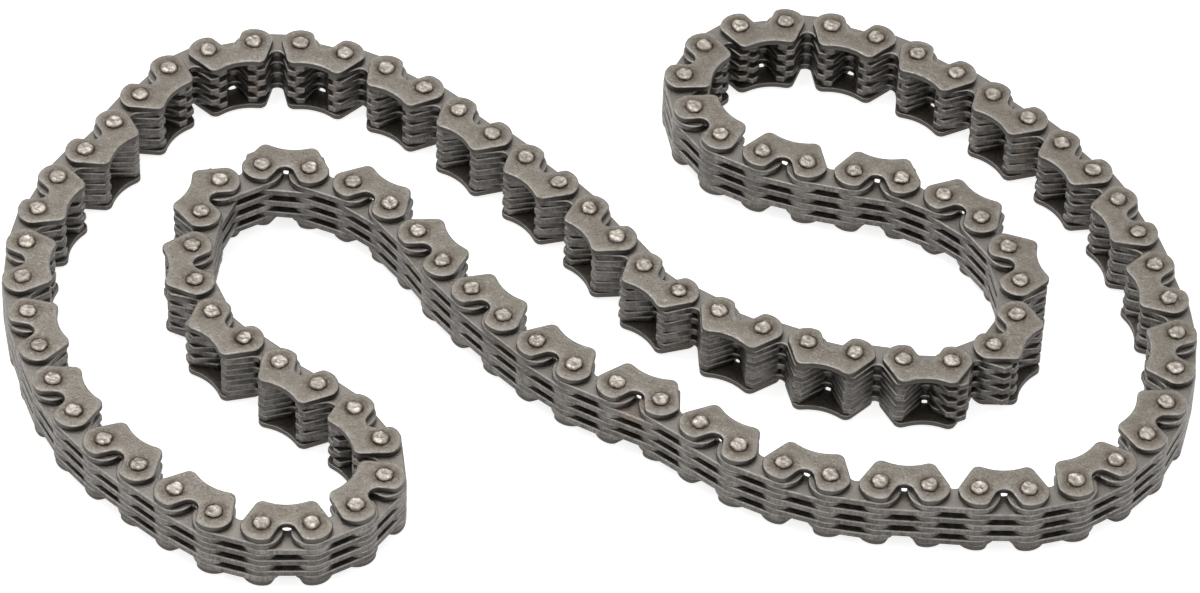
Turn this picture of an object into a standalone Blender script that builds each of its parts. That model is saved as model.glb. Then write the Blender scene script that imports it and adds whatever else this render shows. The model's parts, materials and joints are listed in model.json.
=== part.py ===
"""Inverted-tooth (silent) timing chain, an endless loop laid on its side in an S-fold.

Guide links (two outer guide plates, riveted pins and a row of toothed leaves) alternate with
inner links (a second row of toothed leaves that turn on the pins). The pins stand upright, the
teeth face the inside of the loop. One guide link and the inner link after it are built plate by
plate. Everywhere else a guide link and the inner link riveted up with it are one module, which
turns on the next module's leading pin.
"""

import math

import bmesh
import bpy
from mathutils import Matrix, Vector

MM = 0.001

# Driving dimensions
PITCH = 6.35 * MM
LINK_PAIRS = 52
LAYERS = 9
LEAF_THICKNESS = 0.96 * MM
LEAF_GAP = 0.05 * MM
PIN_RADIUS = 1.0 * MM
PIN_FIT = 0.05 * MM
RIVET_FIT = 0.03 * MM
OPEN_PIVOT_FIT = 0.45 * MM
HEAD_RADIUS = 1.15 * MM
HEAD_HEIGHT = 0.45 * MM
HEAD_DOME = 0.15 * MM

# Guide plate, from the line through its two pins. The gap is that between the ears of two neighbours.
EAR_GAP = 0.91 * MM
NOTCH_RADIUS = 1.2 * MM
NOTCH_FLOOR = 0.0 * MM
NOTCH_LEAN = 28
NOTCH_SHOULDER = 67
PLATE_DROP = 3.9 * MM
PLATE_TOE_IN = 0.15 * MM
PLATE_CORNER = 0.7 * MM
PLATE_CORNER_RISE = 0.3 * MM
PLATE_HOLLOW = 0.6 * MM

# Toothed leaf, from the line through its two pins. The gap is that between two neighbours of its row.
LEAF_END_GAP = 0.65 * MM
BACK_CUT = 0.05 * MM
TOE_DROP = 3.65 * MM
TOE_OUT = 0.7 * MM
TOE_WIDTH = 1.1 * MM
CROTCH_RADIUS = 0.9 * MM
CROTCH_FLOOR = 0.4 * MM

# The layers of the pack that each row of leaves takes, counted from the lowest plate. A module holds
# its inner link's leaves in the lower half and its guide link's leaves in the upper half. The modules
# next to the link pair that is built plate by plate interleave with it, so they hold single leaves.
LOWEST_LAYER = 1
INNER_ROW = [(layer, layer) for layer in range(LOWEST_LAYER + 1, LAYERS, 2)]
GUIDE_ROW = [(layer, layer) for layer in range(LOWEST_LAYER + 2, LAYERS, 2)]
MIDDLE_LAYER = (LOWEST_LAYER + LAYERS) // 2
INNER_ROW_PACKED = [(LOWEST_LAYER + 1, MIDDLE_LAYER)]
GUIDE_ROW_PACKED = [(MIDDLE_LAYER + 1, LAYERS - 1)]

# Facets: straight steps in the arcs of an outline, and sides of round pieces
FINE_ARC_STEPS, FINE_EAR_STEPS, FINE_SIDES = 3, 6, 12
COARSE_ARC_STEPS, COARSE_EAR_STEPS, COARSE_SIDES, CORE_SIDES = 1, 2, 6, 4
ARC_OVERRUN = 10
SHARP_EDGE = 30
SAME_POINT = 0.001 * MM

# Which link pairs are built plate by plate or as one double module, and where the loop is parted
PLATE_BY_PLATE = 0
DOUBLE_MODULES = (27, 44)
PARTED_AT = 26

COLLECTION = "timing_chain"

# Lay of the loop: points along the pin line, clockwise seen from above
LAY_SAMPLES = 16
LAY_SCALES = (0.9, 1.2)
LAY_HALVINGS = 48
LAY = [
    (43, -37), (31, -36), (19, -31.5), (9, -24), (-3, -18), (-12, -10), (-20, -1), (-28, 10),
    (-38, 16), (-49, 15.5), (-53.5, 4), (-51.5, -9), (-41, -19.5), (-31, -27), (-26, -37),
    (-33, -46.5), (-45, -47), (-57, -39), (-67, -29), (-72.5, -17), (-75.5, -4), (-73.5, 10),
    (-66, 23), (-57.5, 36), (-45, 40.5), (-30, 36), (-15, 24), (-2, 11), (8, -2), (21, -10),
    (36, -14.5), (49, -14), (55, -5), (53, 8), (42, 17.5), (28, 20.5), (15, 26), (10.5, 37),
    (17.5, 46.5), (30, 47.5), (43, 42), (55, 32.5), (66.5, 19.5), (73, 4), (75.5, -10),
    (71.5, -26), (60, -36),
]


def between(first, second, start, end, at):
    """The value at a knot between two values that hold at the start and the end knot."""
    share = (at - start) / (end - start)
    return first * (1 - share) + second * share


def smooth_loop(points):
    """A closed centripetal Catmull-Rom curve through the points, as a fine polygon."""
    curve = []
    count = len(points)
    for i in range(count):
        a, b, c, d = (points[(i + step) % count] for step in (-1, 0, 1, 2))
        knots = [0.0]
        for near, far in ((a, b), (b, c), (c, d)):
            knots.append(knots[-1] + math.sqrt((far - near).length))
        k0, k1, k2, k3 = knots
        for sample in range(LAY_SAMPLES):
            at = k1 + (k2 - k1) * sample / LAY_SAMPLES
            ab = between(a, b, k0, k1, at)
            bc = between(b, c, k1, k2, at)
            cd = between(c, d, k2, k3, at)
            curve.append(between(between(ab, bc, k0, k2, at), between(bc, cd, k1, k3, at), k1, k2, at))
    return curve


def stepped(curve, scale):
    """Pins a pitch apart along the scaled curve, and how far along the polygon the last one is."""
    count = len(curve)
    pins = [curve[0] * scale]
    place = 0
    reached = 0.0
    for _ in range(2 * LINK_PAIRS):
        pin = pins[-1]
        while (curve[(place + 1) % count] * scale - pin).length < PITCH:
            place += 1
        start = curve[place % count] * scale
        side = curve[(place + 1) % count] * scale - start
        back = start - pin
        a, b, c = side.dot(side), 2 * back.dot(side), back.dot(back) - PITCH**2
        share = (-b + math.sqrt(b * b - 4 * a * c)) / (2 * a)
        pins.append(start + side * share)
        reached = place + share
    return pins, reached


def laid_pins():
    """Every pin of the loop, on the lay scaled so that the chain's pitches just close it."""
    curve = smooth_loop([Vector(point) for point in LAY])
    sides = sum((curve[i] - curve[i - 1]).length for i in range(len(curve)))
    nominal = 2 * LINK_PAIRS * PITCH / sides
    low, high = (share * nominal for share in LAY_SCALES)
    for _ in range(LAY_HALVINGS):
        scale = (low + high) / 2
        pins, reached = stepped(curve, scale)
        if reached > len(curve):
            low = scale
        else:
            high = scale
    return pins[:-1]


# Outlines, in a link's own frame: first pin at the origin, second pin at +X, teeth towards -Y

def arc(centre, radius, start, end, steps):
    """Points on an arc, from the start to the end angle in degrees."""
    angles = [math.radians(start + (end - start) * i / steps) for i in range(steps + 1)]
    return [(centre[0] + radius * math.cos(a), centre[1] + radius * math.sin(a)) for a in angles]


def mirrored(half):
    """The half outline and its mirror image about the middle of the link."""
    other = [(PITCH - x, y) for x, y in reversed(half) if abs(x - PITCH / 2) > SAME_POINT]
    return half + other


def guide_plate_outline(notch_steps, ear_steps):
    """Two round ears, a notch with leaning walls between them, straight flanks and a hollow base."""
    notch_centre = (PITCH / 2, NOTCH_FLOOR + NOTCH_RADIUS)
    notch = arc(notch_centre, NOTCH_RADIUS, 270, 180 + NOTCH_LEAN, notch_steps)
    ear = arc((0, 0), (PITCH - EAR_GAP) / 2, NOTCH_SHOULDER, 180, ear_steps)
    corner = [(PLATE_TOE_IN - PLATE_CORNER, PLATE_CORNER_RISE - PLATE_DROP), (PLATE_TOE_IN, -PLATE_DROP)]
    middle = [(PITCH / 2, PLATE_HOLLOW - PLATE_DROP)]
    return mirrored(notch + ear + corner + middle)


def toothed_leaf_outline(end_steps, crotch_steps):
    """A flat back, round ends, and two toes with slanted outer flanks and a crotch between them."""
    radius = (PITCH - LEAF_END_GAP) / 2
    back = math.degrees(math.acos(1 - BACK_CUT / radius))
    end = arc((0, 0), radius, 90 + back, 180 + ARC_OVERRUN, end_steps)
    toe = [(-TOE_OUT, -TOE_DROP), (TOE_WIDTH - TOE_OUT, -TOE_DROP)]
    crotch_centre = (PITCH / 2, -CROTCH_FLOOR - CROTCH_RADIUS)
    crotch = arc(crotch_centre, CROTCH_RADIUS, 180 - ARC_OVERRUN, 90, crotch_steps)
    return mirrored(end + toe + crotch)


# Solids

def layer_bottom(layer):
    """The height of a layer's lower face above the surface that the lower rivet heads stand on."""
    return HEAD_HEIGHT + (layer - LOWEST_LAYER) * (LEAF_THICKNESS + LEAF_GAP)


def layer_top(layer):
    """The height of a layer's upper face."""
    return layer_bottom(layer) + LEAF_THICKNESS


STACK_TOP = layer_top(LAYERS)
TOTAL_HEIGHT = STACK_TOP + HEAD_HEIGHT

# How far the heads and the shanks of a module's pins run into the plates that they join
HEAD_ROOT = LEAF_THICKNESS / 2
SHANK_ROOT = LEAF_THICKNESS / 3


def mesh_object(name, mesh):
    """A named object for a mesh, not yet in any collection."""
    return bpy.data.objects.new(name, mesh)


def evaluated_mesh(obj):
    """The mesh of a helper object as its modifiers leave it, after which the helper is removed."""
    bpy.context.scene.collection.objects.link(obj)
    graph = bpy.context.evaluated_depsgraph_get()
    mesh = bpy.data.meshes.new_from_object(obj.evaluated_get(graph), depsgraph=graph)
    matrix = obj.matrix_world.copy()
    bpy.data.objects.remove(obj)
    mesh.transform(matrix)
    return mesh


def welded(mesh):
    """The mesh with the loose caps of its curve joined to the sides."""
    shape = bmesh.new()
    shape.from_mesh(mesh)
    bmesh.ops.remove_doubles(shape, verts=shape.verts, dist=SAME_POINT)
    bmesh.ops.recalc_face_normals(shape, faces=shape.faces)
    shape.to_mesh(mesh)
    shape.free()
    return mesh


def plate_mesh(outline, low, high):
    """A flat plate: the outline filled and extruded between two heights."""
    curve = bpy.data.curves.new("outline", "CURVE")
    curve.dimensions = "2D"
    curve.fill_mode = "BOTH"
    curve.extrude = (high - low) / 2
    line = curve.splines.new("POLY")
    line.points.add(len(outline) - 1)
    for point, (x, y) in zip(line.points, outline):
        point.co = (x, y, 0, 1)
    line.use_cyclic_u = True
    helper = bpy.data.objects.new("outline", curve)
    helper.location.z = (low + high) / 2
    bpy.context.scene.collection.objects.link(helper)
    bpy.context.view_layer.update()
    bpy.context.scene.collection.objects.unlink(helper)
    return welded(evaluated_mesh(helper))


def round_mesh(radius, low, high, sides):
    """An upright cylinder on the Z axis."""
    shape = bmesh.new()
    middle = Matrix.Translation((0, 0, (low + high) / 2))
    bmesh.ops.create_cone(
        shape, cap_ends=True, segments=sides, radius1=radius, radius2=radius, depth=high - low, matrix=middle
    )
    mesh = bpy.data.meshes.new("round")
    shape.to_mesh(mesh)
    shape.free()
    return mesh


def turned_mesh(profile, sides):
    """A turned piece: a profile of (radius, height), top to bottom, swept about Z."""
    mesh = bpy.data.meshes.new("profile")
    points = [(radius, 0, height) for radius, height in profile]
    mesh.from_pydata(points, [(i, i + 1) for i in range(len(points) - 1)], [])
    helper = mesh_object("turned", mesh)
    screw = helper.modifiers.new("Turn", "SCREW")
    screw.steps = screw.render_steps = sides
    screw.use_merge_vertices = True
    screw.merge_threshold = SAME_POINT
    return evaluated_mesh(helper)


def combined(mesh, others, operation):
    """The mesh united with the others, or with the others cut away."""
    base = mesh_object("base", mesh)
    tools = []
    for other in others:
        tool = mesh_object("tool", other)
        bpy.context.scene.collection.objects.link(tool)
        modifier = base.modifiers.new(operation.title(), "BOOLEAN")
        modifier.operation = operation
        modifier.solver = "EXACT"
        modifier.object = tool
        tools.append(tool)
    result = evaluated_mesh(base)
    for tool in tools:
        bpy.data.objects.remove(tool)
    return result


def across_flats(radius, sides):
    """The corner radius of a many-sided hole whose flats lie at the given radius."""
    return radius / math.cos(math.pi / sides)


def placed(mesh, pin, angle):
    """The mesh moved from a link's own frame to its place in the lay."""
    mesh.transform(Matrix.Translation((pin[0], pin[1], 0)) @ Matrix.Rotation(angle, 4, "Z"))
    return mesh


def link_place(pins, link):
    """The first pin of a link, and the angle from it to the next pin."""
    here, there = pins[link % len(pins)], pins[(link + 1) % len(pins)]
    step = there - here
    return here, math.atan2(step.y, step.x)


def leaf_meshes(pins, link, rows, end_steps, crotch_steps):
    """The toothed leaves of one link, one for each run of layers."""
    pin, angle = link_place(pins, link)
    outline = toothed_leaf_outline(end_steps, crotch_steps)
    return [
        placed(plate_mesh(outline, layer_bottom(first), layer_top(last)), pin, angle)
        for first, last in rows
    ]


def guide_plate_meshes(pins, link, notch_steps, ear_steps):
    """The lower and the upper guide plate of one guide link."""
    pin, angle = link_place(pins, link)
    outline = guide_plate_outline(notch_steps, ear_steps)
    return [
        placed(plate_mesh(outline, layer_bottom(layer), layer_top(layer)), pin, angle)
        for layer in (LOWEST_LAYER, LAYERS)
    ]


def upright(pins, number, radius, low, high, sides):
    """A cylinder standing at one pin of the loop, with a flat facing along the chain."""
    pin, angle = link_place(pins, number)
    return placed(round_mesh(radius, low, high, sides), pin, angle)


# The link pair that is built plate by plate

def rivet_pin_mesh(sides):
    """A pin with a spun head at each end, turned from its profile."""
    rim = HEAD_HEIGHT - HEAD_DOME
    crown = HEAD_RADIUS - HEAD_DOME
    top = [(0, TOTAL_HEIGHT), (crown, TOTAL_HEIGHT), (HEAD_RADIUS, STACK_TOP + rim)]
    shank = [(HEAD_RADIUS, STACK_TOP + RIVET_FIT), (PIN_RADIUS, STACK_TOP + RIVET_FIT)]
    upper = top + shank
    lower = [(radius, TOTAL_HEIGHT - height) for radius, height in reversed(upper)]
    return turned_mesh(upper + lower, sides)


def bored_plate(outline, low, high, fits):
    """A plate with a hole of the given running or rivet fit at each of its two pins."""
    holes = []
    for place, fit in enumerate(fits):
        radius = across_flats(PIN_RADIUS + fit, FINE_SIDES)
        hole = round_mesh(radius, low - LEAF_GAP, high + LEAF_GAP, FINE_SIDES)
        holes.append(placed(hole, (place * PITCH, 0), 0))
    return combined(plate_mesh(outline, low, high), holes, "DIFFERENCE")


def add_piece(name, mesh, pins, pin_number, link, material):
    """An object whose origin is on a pin and whose X axis runs along a link."""
    piece = mesh_object(name, mesh)
    _, angle = link_place(pins, link)
    pin = pins[pin_number % len(pins)]
    piece.location = (pin.x, pin.y, 0)
    piece.rotation_euler.z = angle
    piece.data.materials.clear()
    piece.data.materials.append(material)
    piece.data.shade_smooth()
    piece.data.set_sharp_from_angle(angle=math.radians(SHARP_EDGE))
    bpy.data.collections[COLLECTION].objects.link(piece)
    return piece


def build_guide_link(pins, materials):
    """Two guide plates, two riveted pins and the three leaves between them, each its own piece."""
    first = 2 * PLATE_BY_PLATE
    outline = guide_plate_outline(FINE_ARC_STEPS, FINE_EAR_STEPS)
    for name, layer in (("guide_plate_lower", LOWEST_LAYER), ("guide_plate_upper", LAYERS)):
        mesh = bored_plate(outline, layer_bottom(layer), layer_top(layer), (RIVET_FIT, RIVET_FIT))
        add_piece(name, mesh, pins, first, first, materials["guide plate"])
    for name, number in (("rivet_pin_leading", first), ("rivet_pin_trailing", first + 1)):
        add_piece(name, rivet_pin_mesh(FINE_SIDES), pins, number, first, materials["pin"])
    outline = toothed_leaf_outline(FINE_ARC_STEPS, FINE_ARC_STEPS)
    for count, (low, high) in enumerate(GUIDE_ROW, 1):
        mesh = bored_plate(outline, layer_bottom(low), layer_top(high), (RIVET_FIT, RIVET_FIT))
        add_piece(f"guide_row_leaf_{count}", mesh, pins, first, first, materials["leaf"])


def build_inner_link(pins, materials):
    """Four leaves that turn on the guide link's trailing pin and on the next module's pin."""
    first = 2 * PLATE_BY_PLATE + 1
    outline = toothed_leaf_outline(FINE_ARC_STEPS, FINE_ARC_STEPS)
    for count, (low, high) in enumerate(INNER_ROW, 1):
        mesh = bored_plate(outline, layer_bottom(low), layer_top(high), (PIN_FIT, PIN_FIT))
        add_piece(f"inner_leaf_{count}", mesh, pins, first, first, materials["leaf"])


# The modules

def pin_meshes(pins, number, low, high, sides):
    """One pin of a module: a head at each end, and a shank between the given heights."""
    return [
        upright(pins, number, HEAD_RADIUS, 0, HEAD_HEIGHT + HEAD_ROOT, COARSE_SIDES),
        upright(pins, number, HEAD_RADIUS, STACK_TOP - HEAD_ROOT, TOTAL_HEIGHT, COARSE_SIDES),
        upright(pins, number, PIN_RADIUS, low, high, sides),
    ]


def pair_meshes(pins, pair, guide_row, inner_row):
    """The solids of one guide link and of the inner link that is riveted up with it."""
    first = 2 * pair
    solids = guide_plate_meshes(pins, first, COARSE_ARC_STEPS, COARSE_EAR_STEPS)
    solids += leaf_meshes(pins, first, guide_row, COARSE_EAR_STEPS, COARSE_ARC_STEPS)
    solids += leaf_meshes(pins, first + 1, inner_row, COARSE_EAR_STEPS, COARSE_ARC_STEPS)
    solids += pin_meshes(pins, first, HEAD_HEIGHT + SHANK_ROOT, STACK_TOP - SHANK_ROOT, COARSE_SIDES)
    low = layer_bottom(LOWEST_LAYER + 1) + SHANK_ROOT
    high = layer_top(LAYERS - 1) - SHANK_ROOT
    solids += pin_meshes(pins, first + 1, low, high, CORE_SIDES)
    return solids


def build_module(name, pins, pair, count, pivot, material):
    """Some link pairs as one rigid piece, with its origin on the pin that it turns on."""
    follows = (PLATE_BY_PLATE + 1) % LINK_PAIRS
    leads = (PLATE_BY_PLATE - 1) % LINK_PAIRS
    solids = []
    for each in range(pair, pair + count):
        guide_row = {follows: GUIDE_ROW, leads: GUIDE_ROW[-1:]}.get(each, GUIDE_ROW_PACKED)
        inner_row = {leads: INNER_ROW}.get(each, INNER_ROW_PACKED)
        solids += pair_meshes(pins, each, guide_row, inner_row)
    last_pin = 2 * (pair + count)
    fit = OPEN_PIVOT_FIT if pair + count == PARTED_AT else PIN_FIT
    radius = across_flats(PIN_RADIUS + fit, COARSE_SIDES)
    low = layer_bottom(LOWEST_LAYER + 1) - LEAF_GAP
    high = layer_top(LAYERS - 1) + LEAF_GAP
    bore = upright(pins, last_pin, radius, low, high, COARSE_SIDES)
    mesh = combined(combined(solids[0], solids[1:], "UNION"), [bore], "DIFFERENCE")
    pin, angle = pins[pivot % len(pins)], link_place(pins, 2 * pair)[1]
    own = Matrix.Translation((pin.x, pin.y, 0)) @ Matrix.Rotation(angle, 4, "Z")
    mesh.transform(own.inverted())
    return add_piece(name, mesh, pins, pivot, 2 * pair, material)


def build_modules(pins, material):
    """Every other link pair, in order round the loop from the one built plate by plate."""
    number = 0
    pair = PLATE_BY_PLATE + 1
    while pair < PLATE_BY_PLATE + LINK_PAIRS:
        count = 2 if pair in DOUBLE_MODULES else 1
        number += 1
        ahead = pair < PARTED_AT
        pivot = 2 * pair if ahead else 2 * (pair + count)
        kind = "double_link_pair" if count == 2 else "link_pair"
        build_module(f"{kind}_{number:02d}", pins, pair, count, pivot, material)
        pair += count


# The scene

def steel(name, colour, roughness):
    """A steel finish."""
    material = bpy.data.materials.new(name)
    material.use_nodes = True
    shader = material.node_tree.nodes["Principled BSDF"]
    shader.inputs["Base Color"].default_value = (*colour, 1)
    shader.inputs["Metallic"].default_value = 1.0
    shader.inputs["Roughness"].default_value = roughness
    material.diffuse_color = (*colour, 1)
    return material


def centre_on_origin():
    """Moves every piece so that the loop's box is centred over the origin."""
    bpy.context.view_layer.update()
    pieces = bpy.data.collections[COLLECTION].objects
    corners = [piece.matrix_world @ vertex.co for piece in pieces for vertex in piece.data.vertices]
    middle_x = (min(c.x for c in corners) + max(c.x for c in corners)) / 2
    middle_y = (min(c.y for c in corners) + max(c.y for c in corners)) / 2
    for piece in pieces:
        piece.location.x -= middle_x
        piece.location.y -= middle_y


def main():
    for obj in list(bpy.data.objects):
        bpy.data.objects.remove(obj)
    bpy.context.scene.collection.children.link(bpy.data.collections.new(COLLECTION))
    materials = {
        "guide plate": steel("tumbled_guide_plate_steel", (0.42, 0.39, 0.35), 0.42),
        "leaf": steel("oiled_leaf_steel", (0.14, 0.13, 0.12), 0.38),
        "pin": steel("spun_pin_steel", (0.62, 0.57, 0.53), 0.35),
        "module": steel("blued_link_steel", (0.30, 0.28, 0.26), 0.4),
    }
    pins = laid_pins()
    build_guide_link(pins, materials)
    build_inner_link(pins, materials)
    build_modules(pins, materials["module"])
    centre_on_origin()


main()
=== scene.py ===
"""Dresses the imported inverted-tooth timing chain.

Each link pair gets its two guide plates, its seven toothed leaves and its two riveted pins, in tumbled,
blanked and spun steel, standing where the CAD's own pins stand and riding on the CAD's bodies.
"""

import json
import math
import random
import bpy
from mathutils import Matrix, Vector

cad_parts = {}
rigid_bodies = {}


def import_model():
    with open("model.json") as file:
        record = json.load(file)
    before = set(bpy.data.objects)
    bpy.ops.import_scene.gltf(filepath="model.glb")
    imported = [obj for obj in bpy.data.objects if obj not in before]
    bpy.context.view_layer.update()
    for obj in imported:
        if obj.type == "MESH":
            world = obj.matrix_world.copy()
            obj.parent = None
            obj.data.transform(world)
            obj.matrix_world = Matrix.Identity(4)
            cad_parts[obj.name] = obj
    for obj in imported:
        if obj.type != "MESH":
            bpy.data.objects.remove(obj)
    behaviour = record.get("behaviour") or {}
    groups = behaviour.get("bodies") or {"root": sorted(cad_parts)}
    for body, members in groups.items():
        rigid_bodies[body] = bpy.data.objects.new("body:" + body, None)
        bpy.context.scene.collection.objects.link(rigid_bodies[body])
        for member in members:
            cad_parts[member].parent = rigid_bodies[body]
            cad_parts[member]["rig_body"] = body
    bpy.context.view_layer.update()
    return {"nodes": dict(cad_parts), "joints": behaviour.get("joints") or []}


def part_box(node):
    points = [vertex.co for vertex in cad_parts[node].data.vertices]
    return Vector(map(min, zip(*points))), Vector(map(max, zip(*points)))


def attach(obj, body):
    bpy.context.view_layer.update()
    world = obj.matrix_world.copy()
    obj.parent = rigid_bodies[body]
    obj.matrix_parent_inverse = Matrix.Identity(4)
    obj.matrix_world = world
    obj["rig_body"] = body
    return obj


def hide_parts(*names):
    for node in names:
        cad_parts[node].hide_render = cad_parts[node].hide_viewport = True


bl_info = {
    "name": "Inverted-Tooth Timing Chain",
    "version": (1, 0, 0),
    "blender": (4, 5, 0),
    "location": "3D View > Sidebar > Timing Chain",
    "description": "Plates, leaves and pins of a silent timing chain, with its studio",
    "category": "Add Mesh",
}

from collections import namedtuple

import bmesh
import bpy
from bpy.props import FloatProperty, FloatVectorProperty, PointerProperty
from mathutils import Matrix, Vector, noise

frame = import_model()

MM = 0.001

# What the CAD's pins are found by: the depth of a head's flat, the most that two spots of one head lie apart,
# and the digits that a spot is rounded to
FLAT_DEPTH = 0.02 * MM
HEAD_SPREAD = 2.4 * MM
SPOT_DIGITS = 6

Pin = namedtuple("Pin", "place node body")
# The last three hold a share from 0 to 1 for each point: turned to the edge, deep between plates, and worn;
# the depth between plates sets painted shade
Shape = namedtuple("Shape", "points faces edge_turn crevice wear")


def pins_by_head():
    """Every pin of the frame, found by the flat of its upper rivet head."""
    top = max(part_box(name)[1].z for name in frame["nodes"])
    found = []
    for name, obj in frame["nodes"].items():
        heads = []
        for vertex in obj.data.vertices:
            if vertex.co.z < top - FLAT_DEPTH:
                continue
            spot = (round(vertex.co.x, SPOT_DIGITS), round(vertex.co.y, SPOT_DIGITS))
            for head in heads:
                if math.dist(spot, next(iter(head))) < HEAD_SPREAD:
                    head.add(spot)
                    break
            else:
                heads.append({spot})
        for head in heads:
            place = sum((Vector(spot) for spot in sorted(head)), Vector((0, 0))) / len(head)
            found.append(Pin(place, name, obj["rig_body"]))
    return found


def pins_in_order(found):
    """The pins in their order round the loop, from the leading rivet pin through the trailing one."""
    first = next(pin for pin in found if pin.node == "rivet_pin_leading")
    second = next(pin for pin in found if pin.node == "rivet_pin_trailing")
    pitch = (second.place - first.place).length
    ordered = [first, second]
    left = [pin for pin in found if pin not in ordered]
    while left:
        here = ordered[-1].place
        following = min(left, key=lambda pin: abs((pin.place - here).length - pitch))
        ordered.append(following)
        left.remove(following)
    return ordered, pitch


PINS, PITCH = pins_in_order(pins_by_head())
PAIRS = len(PINS) // 2
GUIDE_LAYERS = ("guide_plate_lower", "guide_plate_upper")
GUIDE_ROW = sorted(name for name in frame["nodes"] if name.startswith("guide_row_leaf"))
INNER_ROW = sorted(name for name in frame["nodes"] if name.startswith("inner_leaf"))
STACK_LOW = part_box("guide_plate_lower")[0].z
STACK_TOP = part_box("guide_plate_upper")[1].z
HEAD_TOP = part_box("rivet_pin_leading")[1].z
HEAD_HEIGHT = HEAD_TOP - STACK_TOP


def linear(code):
    """The linear colour of an sRGB hex code, with an alpha of 1."""
    values = [int(code[i:i + 2], 16) / 255 for i in (1, 3, 5)]
    return (*(v / 12.92 if v <= 0.04045 else ((v + 0.055) / 1.055) ** 2.4 for v in values), 1)


WHITE = linear("#FFFFFF")


# Sizes, colours and the studio, as a user would change them

def length(name, description, default):
    """A size property in metres, from a default in millimetres."""
    return FloatProperty(name=name, description=description, default=default * MM, unit="LENGTH", precision=5)


def angle(name, description, default):
    """An angle property, from a default in degrees."""
    return FloatProperty(name=name, description=description, default=math.radians(default), unit="ROTATION")


def colour(name, description, code):
    """A colour property, from an sRGB hex code."""
    return FloatVectorProperty(
        name=name, description=description, default=linear(code), subtype="COLOR", size=4, min=0, max=1
    )


class ChainSizes(bpy.types.PropertyGroup):
    """Outlines of the plates and leaves and the shape of the rivet heads."""

    ear_radius: length("Ear radius", "Round end of a guide plate about its pin", 2.72)
    notch_radius: length("Notch radius", "Root of the notch between the ears", 1.25)
    notch_slope: angle("Notch slope", "Lean of the notch walls from upright", 28)
    notch_wall: length("Notch wall", "From a pin to the wall of the notch", 2.14)
    shoulder_round: length("Shoulder round", "Round where the notch meets an ear", 1.0)
    flank_reach: length("Flank reach", "From a pin to the straight flank of a guide plate", 2.42)
    flank_slope: angle("Flank slope", "Lean of the flank from upright", 30)
    waist_round: length("Waist round", "Where an ear runs into the flank", 1.4)
    base_reach: length("Base reach", "From a pin to the slanted ends of the base", 3.80)
    base_slope: angle("Base slope", "Slant of the ends of the base", 20)
    base_hollow: length("Base hollow", "Radius of the hollow base", 6.5)
    base_corner: length("Base corner", "Round of the two lower corners", 1.05)
    plate_roll: length("Plate roll", "Rolled rim of a guide plate's outer face", 0.24)
    plate_burr: length("Plate burr", "Softened rim of a guide plate's inner face", 0.12)
    plate_fall: length("Plate fall", "How far a guide plate's face falls away before its rolled rim", 0.04)
    plate_band: length("Plate band", "Width of the band that falls away", 0.55)
    leaf_back: length("Leaf back", "From the pins to a leaf's flat back", 2.8)
    leaf_end: length("Leaf end", "From a pin to the end of a leaf", 2.85)
    leaf_flank: length("Leaf flank", "From a pin to the slanted flank of a tooth", 2.59)
    leaf_flank_slope: angle("Leaf flank slope", "Lean of a tooth's outer flank from upright", 34)
    leaf_waist: length("Leaf waist", "Where the end of a leaf runs into the flank", 1.3)
    toe_drop: length("Toe drop", "From the pins to the foot of a tooth", 3.65)
    toe_round: length("Toe round", "Round at the foot of a tooth", 0.32)
    crotch_wall: length("Crotch wall", "From a pin to the inner flank of a tooth", 2.55)
    crotch_slope: angle("Crotch slope", "Lean of the inner flank from upright", 37)
    crotch_radius: length("Crotch radius", "Root between the two teeth", 0.95)
    leaf_roll: length("Leaf roll", "Rolled rim of a leaf's upper face", 0.2)
    leaf_burr: length("Leaf burr", "Broken rim of a leaf's lower face", 0.16)
    pin_radius: length("Pin radius", "Shank of a pin", 1.0)
    bore_fit: length("Bore fit", "Radial play of a pin in a bore", 0.04)
    open_fit: length("Open fit", "Radial play at the one pin where the loop is parted", 0.45)
    head_radius: length("Head radius", "Rivet head of a pin", 1.16)


class ChainColours(bpy.types.PropertyGroup):
    """Colours of the three steels."""

    guide_face: colour("Guide face", "Tumbled face of a guide plate", "#A8A299")
    guide_stain: colour("Guide stain", "Tempering stain on a guide plate", "#857C70")
    guide_halo: colour("Guide halo", "Oil and rust held round a rivet head", "#5A4A3C")
    # Painted shade with dirt under the rim of a head; the pins use it for painted shade at the foot of each
    # head
    ring_shade_and_dirt: colour("Guide ring", "Dirt packed under the rim of a head", "#2B241E")
    # Bright rubbed metal of the rims, knocks and worn band, and the painted highlight on the rolled rims
    bright_wear_and_highlight: colour("Guide rim", "Rim rubbed bright in the barrel", "#DAD6CF")
    # Painted shade with oil on the upright sheared edge of a guide plate
    edge_shade_and_oil: colour("Guide edge", "Sheared edge of a guide plate", "#5D5955")
    leaf_face: colour("Leaf face", "Face of a leaf", "#9C968F")
    leaf_edge: colour("Leaf edge", "Blanked edge of a leaf", "#98938E")
    # Oil film, and also the painted shade down the teeth
    leaf_oil_and_shade: colour("Leaf oil", "Oil film in the hollows of a leaf", "#333231")
    # Painted shade with oil: between two leaves, on the inner faces of the guide plates and between the teeth
    gap_shade_and_oil: colour("Leaf gap", "Oil and dirt held between two leaves", "#1C1A18")
    leaf_rust: colour("Leaf rust", "Thin rust on a few edges", "#8A6A50")
    pin_metal: colour("Pin metal", "Spun head of a pin", "#ECE3D7")
    pin_grime: colour("Pin grime", "Grime in the dents of a head", "#6A5F54")


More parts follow.
